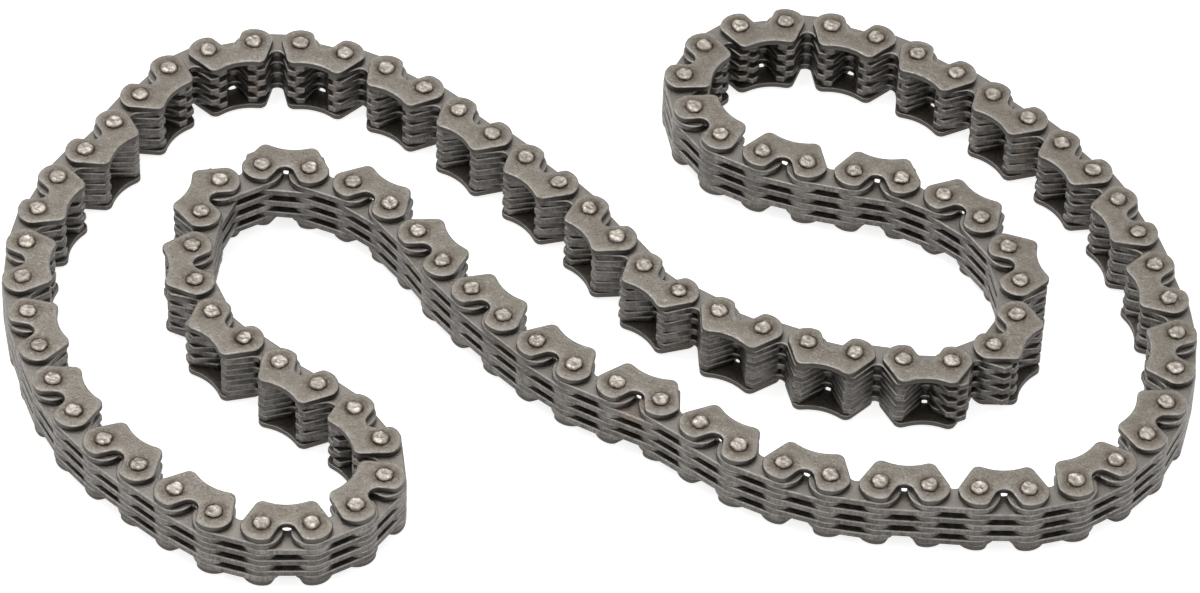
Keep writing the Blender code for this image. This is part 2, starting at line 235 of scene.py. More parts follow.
class ChainStudio(bpy.types.PropertyGroup):
    """Camera, light and floor."""

    elevation: angle("Elevation", "Height of the camera above the floor's plane", 45.80)
    roll: angle("Roll", "Tilt of the camera about its own axis", 2.073)
    distance: length("Distance", "From the camera to the point that it looks at", 848.7)
    target_x: length("Target X", "Where the camera looks, to the side", 0.119)
    target_y: length("Target Y", "Where the camera looks, away from it", -6.239)
    lens: FloatProperty(name="Lens", description="Focal length, 36 mm sensor", default=194.5, unit="CAMERA")
    dome: FloatProperty(name="Dome", description="Strength of the soft light from all sides", default=0.51)
    overhead: FloatProperty(name="Overhead", description="Power of the softbox", default=0.7, unit="POWER")
    floor_white: colour("Floor white", "Paper of the floor", "#E7E7E7")


# Outlines, in a link's own frame: first pin at the origin, second pin at +X, teeth towards -Y

# The ways that the shoulder and the end of a guide plate's ear face, from +X
SHOULDER_FACES = math.radians(78)
EAR_END_FACES = math.radians(170)
# About how long one step of a round stretch is
PLATE_STEP = 0.22 * MM
LEAF_STEP = 0.3 * MM


def side(faces, reach):
    """A straight side: the way it faces, in radians, and how far it lies from the first pin."""
    return Vector((math.cos(faces), math.sin(faces))), reach


def meeting(first, second):
    """The point where two sides meet."""
    (a, reach_a), (b, reach_b) = first, second
    spread = a.x * b.y - a.y * b.x
    return Vector(((reach_a * b.y - reach_b * a.y) / spread, (reach_b * a.x - reach_a * b.x) / spread))


def filleted(corners, step):
    """The closed outline with each (point, radius) corner rounded, in steps of about one length."""
    outline = []
    count = len(corners)
    for i, (point, radius) in enumerate(corners):
        back = (corners[i - 1][0] - point).normalized()
        ahead = (corners[(i + 1) % count][0] - point).normalized()
        turn = math.pi - back.angle(ahead)
        trim = radius * math.tan(turn / 2)
        start, end = point + back * trim, point + ahead * trim
        centre = point + (back + ahead).normalized() * (radius / math.cos(turn / 2))
        steps = max(2, math.ceil(radius * turn / step))
        first, last = start - centre, end - centre
        swing = math.atan2(first.x * last.y - first.y * last.x, first.dot(last))
        for k in range(steps + 1):
            outline.append(centre + Matrix.Rotation(swing * k / steps, 2) @ first)
    shortest = step / 3
    return [point for i, point in enumerate(outline) if (point - outline[i - 1]).length > shortest]


def both_halves(half, on_middle):
    """The half's corners and their mirror image, with those named as on the middle taken once."""
    other = [
        (Vector((PITCH - point.x, point.y)), radius)
        for i, (point, radius) in reversed(list(enumerate(half)))
        if i not in on_middle
    ]
    return half + other


def guide_plate_outline(sizes):
    """Two round ears with a notch between them, straight flanks, and a hollow base."""
    middle = side(0, PITCH / 2)
    wall = side(sizes.notch_slope, sizes.notch_wall)
    shoulder = side(SHOULDER_FACES, sizes.ear_radius)
    end = side(EAR_END_FACES, sizes.ear_radius)
    flank = side(math.pi + sizes.flank_slope, sizes.flank_reach)
    base = side(sizes.base_slope - math.pi / 2, sizes.base_reach)
    half = [
        (meeting(middle, wall), sizes.notch_radius),
        (meeting(wall, shoulder), sizes.shoulder_round),
        (meeting(shoulder, end), sizes.ear_radius),
        (meeting(end, flank), sizes.waist_round),
        (meeting(flank, base), sizes.base_corner),
        (meeting(base, middle), sizes.base_hollow),
    ]
    return filleted(both_halves(half, on_middle=(0, 5)), PLATE_STEP)


def toothed_leaf_outline(sizes):
    """A flat back, round ends, and two teeth with a crotch between them."""
    middle = side(0, PITCH / 2)
    back = side(math.pi / 2, sizes.leaf_back)
    end = side(math.pi, sizes.leaf_end)
    flank = side(math.pi + sizes.leaf_flank_slope, sizes.leaf_flank)
    foot = side(-math.pi / 2, sizes.toe_drop)
    crotch = side(-sizes.crotch_slope, sizes.crotch_wall)
    half = [
        (meeting(back, end), sizes.leaf_back),
        (meeting(end, flank), sizes.leaf_waist),
        (meeting(flank, foot), sizes.toe_round),
        (meeting(foot, crotch), sizes.toe_round),
        (meeting(crotch, middle), sizes.crotch_radius),
    ]
    return filleted(both_halves(half, on_middle=(4,)), LEAF_STEP)


# Plates and leaves

# The narrow flat strip of a face beside its rim
RIM_STRIP = 0.05 * MM
# Steps round a rim, and sides of a bore
PLATE_RIM_STEPS = 4
LEAF_RIM_STEPS = 3
BORE_SIDES = 20


def inset(outline, by):
    """The outline moved into the plate by a distance."""
    moved = []
    count = len(outline)
    for i, point in enumerate(outline):
        back = (point - outline[i - 1]).normalized()
        ahead = (outline[(i + 1) % count] - point).normalized()
        along = (back + ahead).normalized()
        moved.append(point + Vector((-along.y, along.x)) * (by / along.dot(ahead)))
    return moved


def rim_levels(low, high, low_rim, high_rim, steps, fall=0, band=0):
    """Each ring from the lower face, round both rims, to the upper face.

    A ring is its inset from the outline and its height, then how far it is turned to the edge, how deep it
    lies between two plates, and how worn it is, from 0 to 1. A band of the face next to each rim may fall
    away a little.
    """
    levels = [(low_rim + RIM_STRIP, low + fall, 0, 1, 1)]
    for k in range(steps + 1):
        swing = math.pi / 2 * k / steps
        height = low + fall + (low_rim - fall) * (1 - math.cos(swing))
        levels.append((low_rim * (1 - math.sin(swing)), height, k / steps, 1 - k / steps, 1))
    for k in range(steps, -1, -1):
        swing = math.pi / 2 * k / steps
        height = high - fall - (high_rim - fall) * (1 - math.cos(swing))
        levels.append((high_rim * (1 - math.sin(swing)), height, k / steps, 0, 1))
    levels.append((high_rim + RIM_STRIP, high - fall, 0, 0, 1))
    if band:
        levels.insert(0, (low_rim + RIM_STRIP + band, low, 0, 1, 0))
        levels.append((high_rim + RIM_STRIP + band, high, 0, 0, 0))
    return levels


def turned_over(levels, low, high):
    """The same rings for a plate that lies the other way up."""
    return [(by, low + high - height, *shares) for by, height, *shares in reversed(levels)]


def plate_shape(outline, levels, bores):
    """A flat blanked plate of ringed levels, with a bore for each of its two pins."""
    lower_face, upper_face = levels[0][1:], levels[-1][1:]
    shape = bmesh.new()
    turn = shape.verts.layers.float.new("edge_turn")
    crevice = shape.verts.layers.float.new("crevice")
    wear = shape.verts.layers.float.new("wear")
    area = sum(a.x * b.y - a.y * b.x for a, b in zip(outline, outline[1:] + outline[:1]))
    if area < 0:
        outline = outline[::-1]

    def ring(points, height, turned, shaded, worn):
        made = []
        for point in points:
            vertex = shape.verts.new((point.x, point.y, height))
            vertex[turn], vertex[crevice], vertex[wear] = turned, shaded, worn
            made.append(vertex)
        return made

    def band(lower, upper):
        for i in range(len(lower)):
            shape.faces.new((lower[i - 1], lower[i], upper[i], upper[i - 1]))

    rings = [ring(inset(outline, by), *level) for by, *level in levels]
    for lower, upper in zip(rings, rings[1:]):
        band(lower, upper)
    lower_caps, upper_caps = [rings[0]], [rings[-1]]
    for x, bore in zip((0, PITCH), bores):
        circle = []
        for k in range(BORE_SIDES):
            around = math.tau * k / BORE_SIDES
            circle.append(Vector((x + bore * math.cos(around), bore * math.sin(around))))
        lower, upper = ring(circle, *lower_face), ring(circle, *upper_face)
        band(lower, upper)
        lower_caps.append(lower)
        upper_caps.append(upper)
    for caps in (lower_caps, upper_caps):
        edges = [shape.edges.get((loop[i - 1], loop[i])) for loop in caps for i in range(len(loop))]
        bmesh.ops.triangle_fill(shape, use_beauty=True, use_dissolve=False, edges=edges)
    bmesh.ops.recalc_face_normals(shape, faces=shape.faces)
    if shape.calc_volume(signed=True) < 0:
        bmesh.ops.reverse_faces(shape, faces=shape.faces)
    shape.verts.index_update()
    made = Shape(
        [vertex.co.copy() for vertex in shape.verts],
        [tuple(vertex.index for vertex in face.verts) for face in shape.faces],
        [vertex[turn] for vertex in shape.verts],
        [vertex[crevice] for vertex in shape.verts],
        [vertex[wear] for vertex in shape.verts],
    )
    shape.free()
    return made


# Pins

# A head from its dished middle out to its rim: shares of its radius and of its height
HEAD_MIDDLE = 0.84
HEAD_PROFILE = (
    (0.22, 0.84), (0.42, 0.87), (0.58, 0.93), (0.7, 0.97), (0.8, 0.93),
    (0.89, 0.78), (0.96, 0.52), (1.0, 0.24), (0.98, 0.02),
)
HEAD_SIDES = 28
# The first pin's seed, and how far apart in the noise two heads may be
FIRST_PIN_SEED = 1000
NOISE_SPREAD = 90

# The peening: slanting blows that each start at a share of the radius and fall away by a slope, and soft
# dents from a layer of the noise of their own, which fade out towards the rim. The wobble is how far a head
# is out of round. A depth is a share of the head's height, and a frequency is per radius.
BLOWS = 3
BLOW_STARTS = (0.25, 0.6)
BLOW_SLOPES = (0.5, 1.1)
DENT_DEPTH = 0.2
DENT_FREQUENCY = 2.1
DENT_LAYER = 3
DENT_FADE = 1.3
LEAST_RISE = 0.02
WOBBLE = 0.16
WOBBLE_FREQUENCY = 1.5


def struck_head(sizes, draw):
    """One head, spun over and struck: the height of its middle, and the radii and heights of its rings."""
    seed = Vector([draw.uniform(0, NOISE_SPREAD) for _ in range(3)])
    blows = []
    for _ in range(BLOWS):
        strike = draw.uniform(0, math.tau)
        start = draw.uniform(*BLOW_STARTS)
        slope = draw.uniform(*BLOW_SLOPES)
        blows.append((Vector((math.cos(strike), math.sin(strike))), start, slope))

    def height_at(spot, rise):
        dent = DENT_DEPTH * max(0, noise.noise(seed + Vector((spot.x, spot.y, DENT_LAYER)) * DENT_FREQUENCY))
        facet = max(slope * max(0, spot.dot(way) - start) for way, start, slope in blows)
        return HEAD_HEIGHT * min(1, max(LEAST_RISE, rise - (dent + facet) * min(1, rise * DENT_FADE)))

    rows = []
    for reach, rise in HEAD_PROFILE:
        radii, heights = [], []
        for k in range(HEAD_SIDES):
            around = math.tau * k / HEAD_SIDES
            way = Vector((math.cos(around), math.sin(around)))
            wobble = 1 + WOBBLE * noise.noise(seed + Vector((way.x, way.y, 0)) * WOBBLE_FREQUENCY)
            radii.append(sizes.head_radius * reach * wobble)
            heights.append(height_at(way * reach, rise))
        rows.append((radii, heights))
    return height_at(Vector((0, 0)), HEAD_MIDDLE), rows


def pin_shape(sizes, number):
    """A pin: a straight shank, and a head at each end."""
    draw = random.Random(FIRST_PIN_SEED + number)
    points, rings = [], []

    def add_ring(radii, heights):
        rings.append(range(len(points), len(points) + HEAD_SIDES))
        for k in range(HEAD_SIDES):
            around = math.tau * k / HEAD_SIDES
            points.append(Vector((radii[k] * math.cos(around), radii[k] * math.sin(around), heights[k])))

    centre, rows = struck_head(sizes, draw)
    points.append(Vector((0, 0, STACK_TOP + centre)))
    for radii, heights in rows:
        add_ring(radii, [STACK_TOP + height for height in heights])
    for end in (STACK_TOP, STACK_LOW):
        add_ring([sizes.pin_radius] * HEAD_SIDES, [end] * HEAD_SIDES)
    centre, rows = struck_head(sizes, draw)
    for radii, heights in reversed(rows):
        add_ring(radii, [STACK_LOW - height for height in heights])
    points.append(Vector((0, 0, STACK_LOW - centre)))

    faces = []
    for k in range(HEAD_SIDES):
        faces.append((0, rings[0][k - 1], rings[0][k]))
        faces.append((len(points) - 1, rings[-1][k], rings[-1][k - 1]))
        for above, below in zip(rings, rings[1:]):
            faces.append((above[k], above[k - 1], below[k - 1], below[k]))
    middle = (STACK_TOP + STACK_LOW) / 2
    edge_turn = []
    for point in points:
        rise = abs(point.z - middle) - (STACK_TOP - middle)
        edge_turn.append(min(1, max(0, 1 - rise / HEAD_HEIGHT)))
    return Shape(points, faces, edge_turn, [0] * len(points), [0] * len(points))


# Pieces

# An edge that turns by more than this stays sharp
PLATE_CREASE = math.radians(35)
HEAD_CREASE = math.radians(60)


def link_frame(link):
    """The place of a link: its first pin, with +X towards its second one."""
    here, there = PINS[link % len(PINS)].place, PINS[(link + 1) % len(PINS)].place
    step = there - here
    turn = Matrix.Rotation(math.atan2(step.y, step.x), 4, "Z")
    return Matrix.Translation((here.x, here.y, 0)) @ turn


def parted_after(pair):
    """Whether no joint runs from a link pair to the next: the loop's two ends meet there, with some play."""
    bodies = {PINS[2 * pair].body, PINS[(2 * pair + 2) % len(PINS)].body}
    joined = [{joint["parent"], joint["child"]} for joint in frame["joints"]]
    return len(bodies) == 2 and bodies not in joined


def build_piece(name, placed, material, body, node, crease=PLATE_CREASE):
    """One piece from (shape, place) pairs, on its body, standing for its CAD node."""
    points, faces, link_place, edge_turn, crevice, wear, batch = [], [], [], [], [], [], []
    for number, (shape, place) in enumerate(placed):
        first = len(points)
        tone = random.Random(f"{name} {number}").random()
        points.extend(place @ point for point in shape.points)
        faces.extend(tuple(first + index for index in face) for face in shape.faces)
        for point in shape.points:
            link_place.extend((point.x / MM, point.y / MM, point.z / MM))
        edge_turn.extend(shape.edge_turn)
        crevice.extend(shape.crevice)
        wear.extend(shape.wear)
        batch.extend([tone] * len(shape.points))
    mesh = bpy.data.meshes.new(name)
    mesh.from_pydata(points, [], faces)
    mesh.attributes.new("link_place", "FLOAT_VECTOR", "POINT").data.foreach_set("vector", link_place)
    shares = {"edge_turn": edge_turn, "crevice": crevice, "wear": wear, "batch": batch}
    for attribute, values in shares.items():
        mesh.attributes.new(attribute, "FLOAT", "POINT").data.foreach_set("value", values)
    mesh.shade_smooth()
    mesh.set_sharp_from_angle(angle=crease)
    mesh.materials.append(material)
    piece = bpy.data.objects.new(name, mesh)
    bpy.context.scene.collection.objects.link(piece)
    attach(piece, body)
    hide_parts(node)
    return piece


# Materials. Places on a link, and the sizes of patterns, are in millimetres.

# The sockets of a mix node that mixes colours
MIX_SHARE, MIX_UNDER, MIX_OVER, MIX_RESULT = 0, 6, 7, 2


def add_node(tree, kind, inputs=None, **settings):
    """Adds a node with its settings, and gives each input a value or a link."""
    made = tree.nodes.new(kind)
    for key, value in settings.items():
        setattr(made, key, value)
    for key, value in (inputs or {}).items():
        if isinstance(value, bpy.types.NodeSocket):
            tree.links.new(value, made.inputs[key])
        else:
            made.inputs[key].default_value = value
    return made


def new_steel(name):
    """A bare steel: its material, its nodes, and where each point of the chain is."""
    material = bpy.data.materials.new(name)
    material.use_nodes = True
    tree = material.node_tree
    tree.nodes["Principled BSDF"].inputs["Metallic"].default_value = 1.0
    where = add_node(tree, "ShaderNodeTexCoord").outputs["Object"]
    return material, tree, where


def patches(tree, where, size, low, high, detail=3):
    """A soft pattern of patches of about a size, from 0 to 1 between two noise levels."""
    grading = {"Vector": where, "Scale": 1 / (size * MM), "Detail": detail, "Roughness": 0.6}
    texture = add_node(tree, "ShaderNodeTexNoise", grading)
    span = {"Value": texture.outputs["Fac"], "From Min": low, "From Max": high}
    return add_node(tree, "ShaderNodeMapRange", span).outputs["Result"]


def laid_over(tree, under, over, *patterns, amount):
    """A colour laid over another, by an amount where all the patterns are at their fullest."""
    share = amount
    for pattern in patterns:
        share = add_node(tree, "ShaderNodeMath", {0: pattern, 1: share}, operation="MULTIPLY").outputs[0]
    layers = {MIX_SHARE: share, MIX_UNDER: under, MIX_OVER: over}
    return add_node(tree, "ShaderNodeMix", layers, data_type="RGBA").outputs[MIX_RESULT]


def rim_highlight_and_rub(tree, turn, broken):
    """A share that peaks half way round a rim, where the barrel rubs the most and a painted highlight lies,
    broken up by a pattern.
    """
    rest = add_node(tree, "ShaderNodeMath", {0: 1.0, 1: turn}, operation="SUBTRACT").outputs[0]
    bow = add_node(tree, "ShaderNodeMath", {0: turn, 1: rest}, operation="MULTIPLY").outputs[0]
    # The bow is at most a quarter
    hump = add_node(tree, "ShaderNodeMath", {0: bow, 1: 4.0}, operation="MULTIPLY").outputs[0]
    peak = add_node(tree, "ShaderNodeMath", {0: hump, 1: hump}, operation="MULTIPLY").outputs[0]
    return add_node(tree, "ShaderNodeMath", {0: peak, 1: broken}, operation="MULTIPLY").outputs[0]


def near_pins(tree, place, inner, outer):
    """A share that is 1 at a pin's head, out to an inner radius, and fades to 0 at an outer one."""
    distances = []
    for x in (0, PITCH / MM):
        shifted = add_node(tree, "ShaderNodeVectorMath", {0: place, 1: (x, 0, 0)}, operation="SUBTRACT")
        across = {0: shifted.outputs[0], 1: (1, 1, 0)}
        flat = add_node(tree, "ShaderNodeVectorMath", across, operation="MULTIPLY")
        radius = add_node(tree, "ShaderNodeVectorMath", {0: flat.outputs[0]}, operation="LENGTH")
        distances.append(radius.outputs["Value"])
    both = {0: distances[0], 1: distances[1]}
    nearest = add_node(tree, "ShaderNodeMath", both, operation="MINIMUM").outputs[0]
    span = {"Value": nearest, "From Min": outer, "From Max": inner}
    return add_node(tree, "ShaderNodeMapRange", span, interpolation_type="SMOOTHSTEP").outputs["Result"]


def peened(tree, where, size):
    """Shallow round dents of a size: how deep each spot lies, and a tone for each dent."""
    spacing = {"Vector": where, "Scale": 1 / (size * MM), "Randomness": 1.0}
    cells = add_node(tree, "ShaderNodeTexVoronoi", spacing)
    tone = add_node(tree, "ShaderNodeSeparateXYZ", {0: cells.outputs["Color"]}).outputs["X"]
    return cells.outputs["Distance"], tone


def finished(material, tint, roughness, height, depth, strength):
    """The material with its colour and roughness, and with relief of a depth in millimetres."""
    tree = material.node_tree
    shader = tree.nodes["Principled BSDF"]
    bump = add_node(tree, "ShaderNodeBump", {"Height": height, "Distance": depth * MM, "Strength": strength})
    tree.links.new(tint, shader.inputs["Base Color"])
    tree.links.new(roughness, shader.inputs["Roughness"])
    tree.links.new(bump.outputs["Normal"], shader.inputs["Normal"])
    return material


def tumbled_plate_steel(colours):
    """Carbon steel guide plate, blanked, hardened and barrel tumbled.

    The barrel leaves a satin warm grey with cloudy tempering stains, fine pits and a few shiny knocks. It
    rubs the rolled rims bright, and a band beside them in places, and the rims carry a painted highlight.
    Brown oil stays round each rivet head. Painted shade with dirt is blackest in the corner under its rim,
    and painted shade dims the inner face and, with oil, the upright edge. Each plate has its own tone.
    """
    material, tree, where = new_steel("tumbled_plate_steel")
    place = add_node(tree, "ShaderNodeAttribute", attribute_name="link_place").outputs["Vector"]
    turn = add_node(tree, "ShaderNodeAttribute", attribute_name="edge_turn").outputs["Fac"]
    gap = add_node(tree, "ShaderNodeAttribute", attribute_name="crevice").outputs["Fac"]
    wear = add_node(tree, "ShaderNodeAttribute", attribute_name="wear").outputs["Fac"]
    batch = add_node(tree, "ShaderNodeAttribute", attribute_name="batch").outputs["Fac"]
    cloud = patches(tree, where, size=1.6, low=0.36, high=0.66)
    # The real grain is a few hundredths of a millimetre wide: it is drawn as coarse as it needs to be to show
    grain = patches(tree, where, size=0.2, low=0.3, high=0.7, detail=5)
    knocks = patches(tree, where, size=0.42, low=0.56, high=0.74)
    pits = patches(tree, where, size=0.34, low=0.57, high=0.7)
    face = laid_over(tree, colours.guide_face, colours.guide_stain, cloud, amount=0.5)
    face = laid_over(tree, face, colours.guide_stain, grain, amount=0.45)
    face = laid_over(tree, face, colours.bright_wear_and_highlight, knocks, amount=0.5)
    face = laid_over(tree, face, colours.guide_halo, pits, amount=0.7)
    face = laid_over(tree, face, colours.guide_stain, batch, amount=0.25)
    halo = near_pins(tree, place, inner=1.15, outer=2.3)
    blots = patches(tree, where, size=0.7, low=0.3, high=0.6)
    face = laid_over(tree, face, colours.guide_halo, halo, blots, amount=0.75)
    scuffs = patches(tree, where, size=1.1, low=0.25, high=0.6)
    face = laid_over(tree, face, colours.bright_wear_and_highlight, wear, scuffs, amount=0.22)
    # Painted shade with dirt, blackest in the corner under the rim of each head
    ring = near_pins(tree, place, inner=1.12, outer=1.45)
    clots = patches(tree, where, size=0.9, low=0.3, high=0.55)
    face = laid_over(tree, face, colours.ring_shade_and_dirt, ring, clots, amount=0.8)
    # Painted shade with oil on the upright edge, reached across the rims
    tint = laid_over(tree, face, colours.edge_shade_and_oil, turn, amount=1.0)
    # Painted highlight, with the barrel's rubbing, half way round the rolled rims
    rim = rim_highlight_and_rub(tree, turn, patches(tree, where, size=0.9, low=0.2, high=0.55))
    tint = laid_over(tree, tint, colours.bright_wear_and_highlight, rim, amount=0.65)
    # Painted shade on the inner face, where the plate meets the leaves
    tint = laid_over(tree, tint, colours.gap_shade_and_oil, gap, amount=0.35)
    matt = add_node(tree, "ShaderNodeMapRange", {"Value": grain, "To Min": 0.36, "To Max": 0.52})
    rim_polish = 0.14
    polish = {0: rim, 1: -rim_polish, 2: matt.outputs["Result"]}
    rough = add_node(tree, "ShaderNodeMath", polish, operation="MULTIPLY_ADD").outputs[0]
    height = add_node(tree, "ShaderNodeMath", {0: grain, 1: cloud}, operation="ADD").outputs[0]
    return finished(material, tint, rough, height, depth=0.05, strength=0.7)


def blanked_leaf_steel(colours):
    """Toothed leaf of the same steel, blanked and oiled.

    Its faces are a duller grey. Its sheared edges are darker under an oil film, with streaks that run through
    the thickness, and painted shade darkens them more down the teeth and, with oil, most of all between
    them. Painted shade with oil also darkens where two leaves meet. Its rolled rims are rubbed brighter and
    carry a painted highlight, a few edges carry a thin brown rust, and each leaf has its own tone.
    """
    material, tree, where = new_steel("blanked_leaf_steel")
    place = add_node(tree, "ShaderNodeAttribute", attribute_name="link_place").outputs["Vector"]
    turn = add_node(tree, "ShaderNodeAttribute", attribute_name="edge_turn").outputs["Fac"]
    gap = add_node(tree, "ShaderNodeAttribute", attribute_name="crevice").outputs["Fac"]
    batch = add_node(tree, "ShaderNodeAttribute", attribute_name="batch").outputs["Fac"]
    cloud = patches(tree, where, size=1.2, low=0.35, high=0.68)
    # Drawn coarser than the real grain, as on the guide plates
    grain = patches(tree, where, size=0.2, low=0.3, high=0.7, detail=5)
    # Five times as long through the thickness as along the edge, and shifted from leaf to leaf
    streaked = {0: where, 1: (1, 1, 0.2), 2: batch}
    stretched = add_node(tree, "ShaderNodeVectorMath", streaked, operation="MULTIPLY_ADD").outputs[0]
    shear = patches(tree, stretched, size=0.22, low=0.35, high=0.68)
    face = laid_over(tree, colours.leaf_face, colours.leaf_edge, cloud, amount=0.5)
    edge = laid_over(tree, colours.leaf_edge, colours.leaf_oil_and_shade, shear, amount=0.6)
    edge = laid_over(tree, edge, colours.leaf_oil_and_shade, cloud, amount=0.5)
    edge = laid_over(tree, edge, colours.leaf_oil_and_shade, batch, amount=0.5)
    spot = add_node(tree, "ShaderNodeSeparateXYZ", {0: place}).outputs
    # Painted shade on the edges, darker down the teeth
    span = {"Value": spot["Y"], "From Min": -1.0, "From Max": -3.0}
    teeth_shade = add_node(tree, "ShaderNodeMapRange", span).outputs["Result"]
    edge = laid_over(tree, edge, colours.leaf_oil_and_shade, teeth_shade, amount=0.22)
    # Painted shade with oil in the crotch between the two teeth, below the pins
    from_middle = {0: spot["X"], 1: PITCH / MM / 2}
    off_middle = add_node(tree, "ShaderNodeMath", from_middle, operation="SUBTRACT").outputs[0]
    off_middle = add_node(tree, "ShaderNodeMath", {0: off_middle}, operation="ABSOLUTE").outputs[0]
    span = {"Value": off_middle, "From Min": 2.0, "From Max": 0.9}
    crotch_shade_and_oil = add_node(tree, "ShaderNodeMapRange", span).outputs["Result"]
    span = {"Value": spot["Y"], "From Min": -0.2, "From Max": -0.9}
    below_pins = add_node(tree, "ShaderNodeMapRange", span).outputs["Result"]
    edge = laid_over(tree, edge, colours.gap_shade_and_oil, crotch_shade_and_oil, below_pins, amount=0.6)
    tint = laid_over(tree, face, edge, turn, amount=1.0)
    rusty = patches(tree, where, size=9, low=0.6, high=0.72)
    specks = patches(tree, where, size=0.7, low=0.4, high=0.62)
    tint = laid_over(tree, tint, colours.leaf_rust, rusty, specks, amount=0.4)
    # Painted highlight, with rubbing, half way round the rolled rims of each leaf
    rim = rim_highlight_and_rub(tree, turn, patches(tree, where, size=0.6, low=0.25, high=0.6))
    tint = laid_over(tree, tint, colours.bright_wear_and_highlight, rim, amount=0.7)
    # Painted shade on the lower face and rim, where two leaves meet
    tint = laid_over(tree, tint, colours.gap_shade_and_oil, gap, amount=0.85)
    span = {"Value": cloud, "To Min": 0.34, "To Max": 0.5}
    rough = add_node(tree, "ShaderNodeMapRange", span).outputs["Result"]
    height = add_node(tree, "ShaderNodeMath", {0: grain, 1: shear}, operation="ADD").outputs[0]
    return finished(material, tint, rough, height, depth=0.03, strength=0.6)


def spun_pin_steel(colours):
    """Alloy steel pin, its ends spun over and peened.

    The struck metal is bright on the high spots and a little yellow, each blow leaves a dent of its own tone,
    and grime stays in the dents. Painted shade darkens the foot of each head's side.
    """
    material, tree, where = new_steel("spun_pin_steel")
    turn = add_node(tree, "ShaderNodeAttribute", attribute_name="edge_turn").outputs["Fac"]
    # Drawn coarser than the real marks of the spinning, which are too fine to show
    grain = patches(tree, where, size=0.25, low=0.35, high=0.68)
    dents, tone = peened(tree, where, size=0.6)
    tint = laid_over(tree, colours.pin_metal, colours.pin_grime, tone, amount=0.6)
    tint = laid_over(tree, tint, colours.pin_grime, grain, amount=0.3)
    # Painted shade on the lower part of each head's side, down to the plate
    under = add_node(tree, "ShaderNodeMapRange", {"Value": turn, "From Min": 0.35, "From Max": 0.85})
    tint = laid_over(tree, tint, colours.ring_shade_and_dirt, under.outputs["Result"], amount=0.85)
    span = {"Value": grain, "To Min": 0.34, "To Max": 0.5}
    rough = add_node(tree, "ShaderNodeMapRange", span).outputs["Result"]
    grain_share = 0.3
    marks = {0: grain, 1: grain_share, 2: dents}
    height = add_node(tree, "ShaderNodeMath", marks, operation="MULTIPLY_ADD").outputs[0]
    return finished(material, tint, rough, height, depth=0.14, strength=0.7)


# The studio, in metres, but for the camera's sensor in millimetres

FLOOR_REACH = 3.0
FLOOR_DROP = 0.02 * MM
# Where the dome's light starts to grow and where it is strongest, from 0 at the horizon to 1 overhead, and
# how many times it grows
DOME_SHOULDER = 0.4
DOME_CROWN = 0.9
DOME_GAIN = 1.65
SOFTBOX_SIZE = (0.35, 0.25)
SOFTBOX_PLACE = (-0.15, 0.1, 0.5)
SENSOR_WIDTH = 36
NEAREST_SEEN = 0.01


def seen_by(tree, by_camera, by_metal):
    """One strength for camera rays, one for reflections in metal, and 0 for rays that light the object."""
    path = add_node(tree, "ShaderNodeLightPath").outputs
    rays = {0: path["Is Glossy Ray"], 1: path["Is Transmission Ray"]}
    mirrored = add_node(tree, "ShaderNodeMath", rays, operation="MAXIMUM").outputs[0]
    direct = add_node(tree, "ShaderNodeMath", {0: path["Is Camera Ray"], 1: by_camera}, operation="MULTIPLY")
    both = {0: mirrored, 1: by_metal, 2: direct.outputs[0]}
    return add_node(tree, "ShaderNodeMath", both, operation="MULTIPLY_ADD").outputs[0]


def add_floor(studio):
    """A plain floor of matt white paper: white to the camera, but for the chain's soft contact shadow."""
    mesh = bpy.data.meshes.new("floor")
    corners = [(x * FLOOR_REACH, y * FLOOR_REACH, 0) for x, y in ((-1, -1), (1, -1), (1, 1), (-1, 1))]
    mesh.from_pydata(corners, [], [(0, 1, 2, 3)])
    floor = bpy.data.objects.new("floor", mesh)
    floor.location.z = -FLOOR_DROP
    bpy.context.scene.collection.objects.link(floor)
    material = bpy.data.materials.new("matt_white_paper")
    material.use_nodes = True
    tree = material.node_tree
    shader = tree.nodes["Principled BSDF"]
    shader.inputs["Base Color"].default_value = studio.floor_white
    shader.inputs["Roughness"].default_value = 0.9
    shader.inputs["Specular IOR Level"].default_value = 0.0
    shader.inputs["Emission Color"].default_value = WHITE
    tree.links.new(seen_by(tree, by_camera=0.75, by_metal=0.5), shader.inputs["Emission Strength"])
    mesh.materials.append(material)


def add_dome(studio):
    """Soft light from all sides, brightest overhead and dimmer half way down, and white to the camera."""
    world = bpy.data.worlds.new("studio")
    bpy.context.scene.world = world
    world.use_nodes = True
    tree = world.node_tree
    background = tree.nodes["Background"]
    direction = add_node(tree, "ShaderNodeTexCoord").outputs["Generated"]
    height = add_node(tree, "ShaderNodeSeparateXYZ", {0: direction}).outputs["Z"]
    span = {
        "Value": height,
        "From Min": DOME_SHOULDER,
        "From Max": DOME_CROWN,
        "To Min": studio.dome,
        "To Max": studio.dome * DOME_GAIN,
    }
    lit = add_node(tree, "ShaderNodeMapRange", span, interpolation_type="SMOOTHSTEP").outputs["Result"]
    path = add_node(tree, "ShaderNodeLightPath").outputs["Is Camera Ray"]
    strength = add_node(tree, "ShaderNodeMapRange", {"Value": path, "To Min": lit, "To Max": 1.0})
    tree.links.new(strength.outputs["Result"], background.inputs["Strength"])
    background.inputs["Color"].default_value = WHITE


def add_softbox(studio):
    """One overhead softbox, turned to the middle of the chain."""
    lamp = bpy.data.lights.new("overhead_softbox", "AREA")
    lamp.shape = "RECTANGLE"
    lamp.size, lamp.size_y = SOFTBOX_SIZE
    lamp.energy = studio.overhead
    softbox = bpy.data.objects.new("overhead_softbox", lamp)
    softbox.location = SOFTBOX_PLACE
    softbox.rotation_euler = (-softbox.location).to_track_quat("-Z", "Y").to_euler()
    bpy.context.scene.collection.objects.link(softbox)


